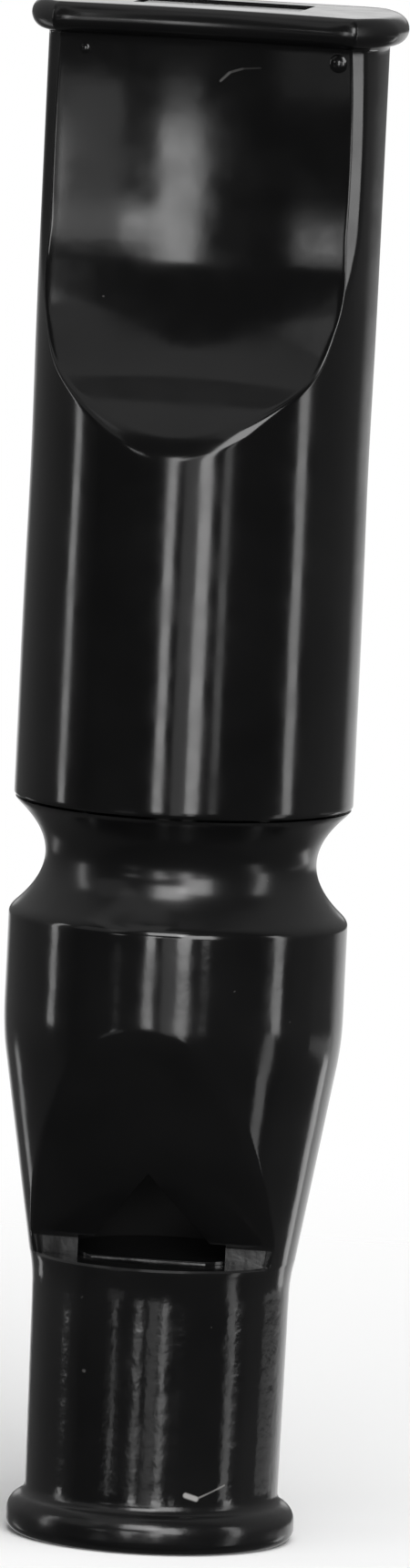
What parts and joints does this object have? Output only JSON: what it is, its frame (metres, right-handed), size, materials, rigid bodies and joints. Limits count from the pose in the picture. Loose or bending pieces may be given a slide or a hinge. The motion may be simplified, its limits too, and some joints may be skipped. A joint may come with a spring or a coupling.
{
  "type": "dog whistle",
  "caption": "Double-ended black plastic dog whistle: a scooped mouthpiece with a loose pea that trills, and a round mouthpiece with a fipple window for a steady tone.",
  "frame": {"origin": "on the whistle's axis, in the plane of the round mouthpiece's end face, which the part stands on", "axes": "+Z along the axis towards the flattened mouthpiece; -Y is the front, with the scoop and the steady tone's window; +X to the right seen from the front"},
  "size_m": [0.0204, 0.0186, 0.084],
  "materials": {
    "black_plastic": "glossy moulded",
    "cork": "ground cork, dry and matte"
  },
  "bodies": {
    "whistle": {"tone_body": "black_plastic", "tone_windway_block": "black_plastic", "chamber_plug": "black_plastic", "pea_barrel": "black_plastic", "pea_windway_block": "black_plastic"},
    "pea": {"pea": "cork"}
  },
  "joints": [
    {"name": "pea_rise", "type": "slide", "parent": "whistle", "child": "pea", "axis": [0, 0, 1], "range_m": [0, 0.0098]}
  ]
}
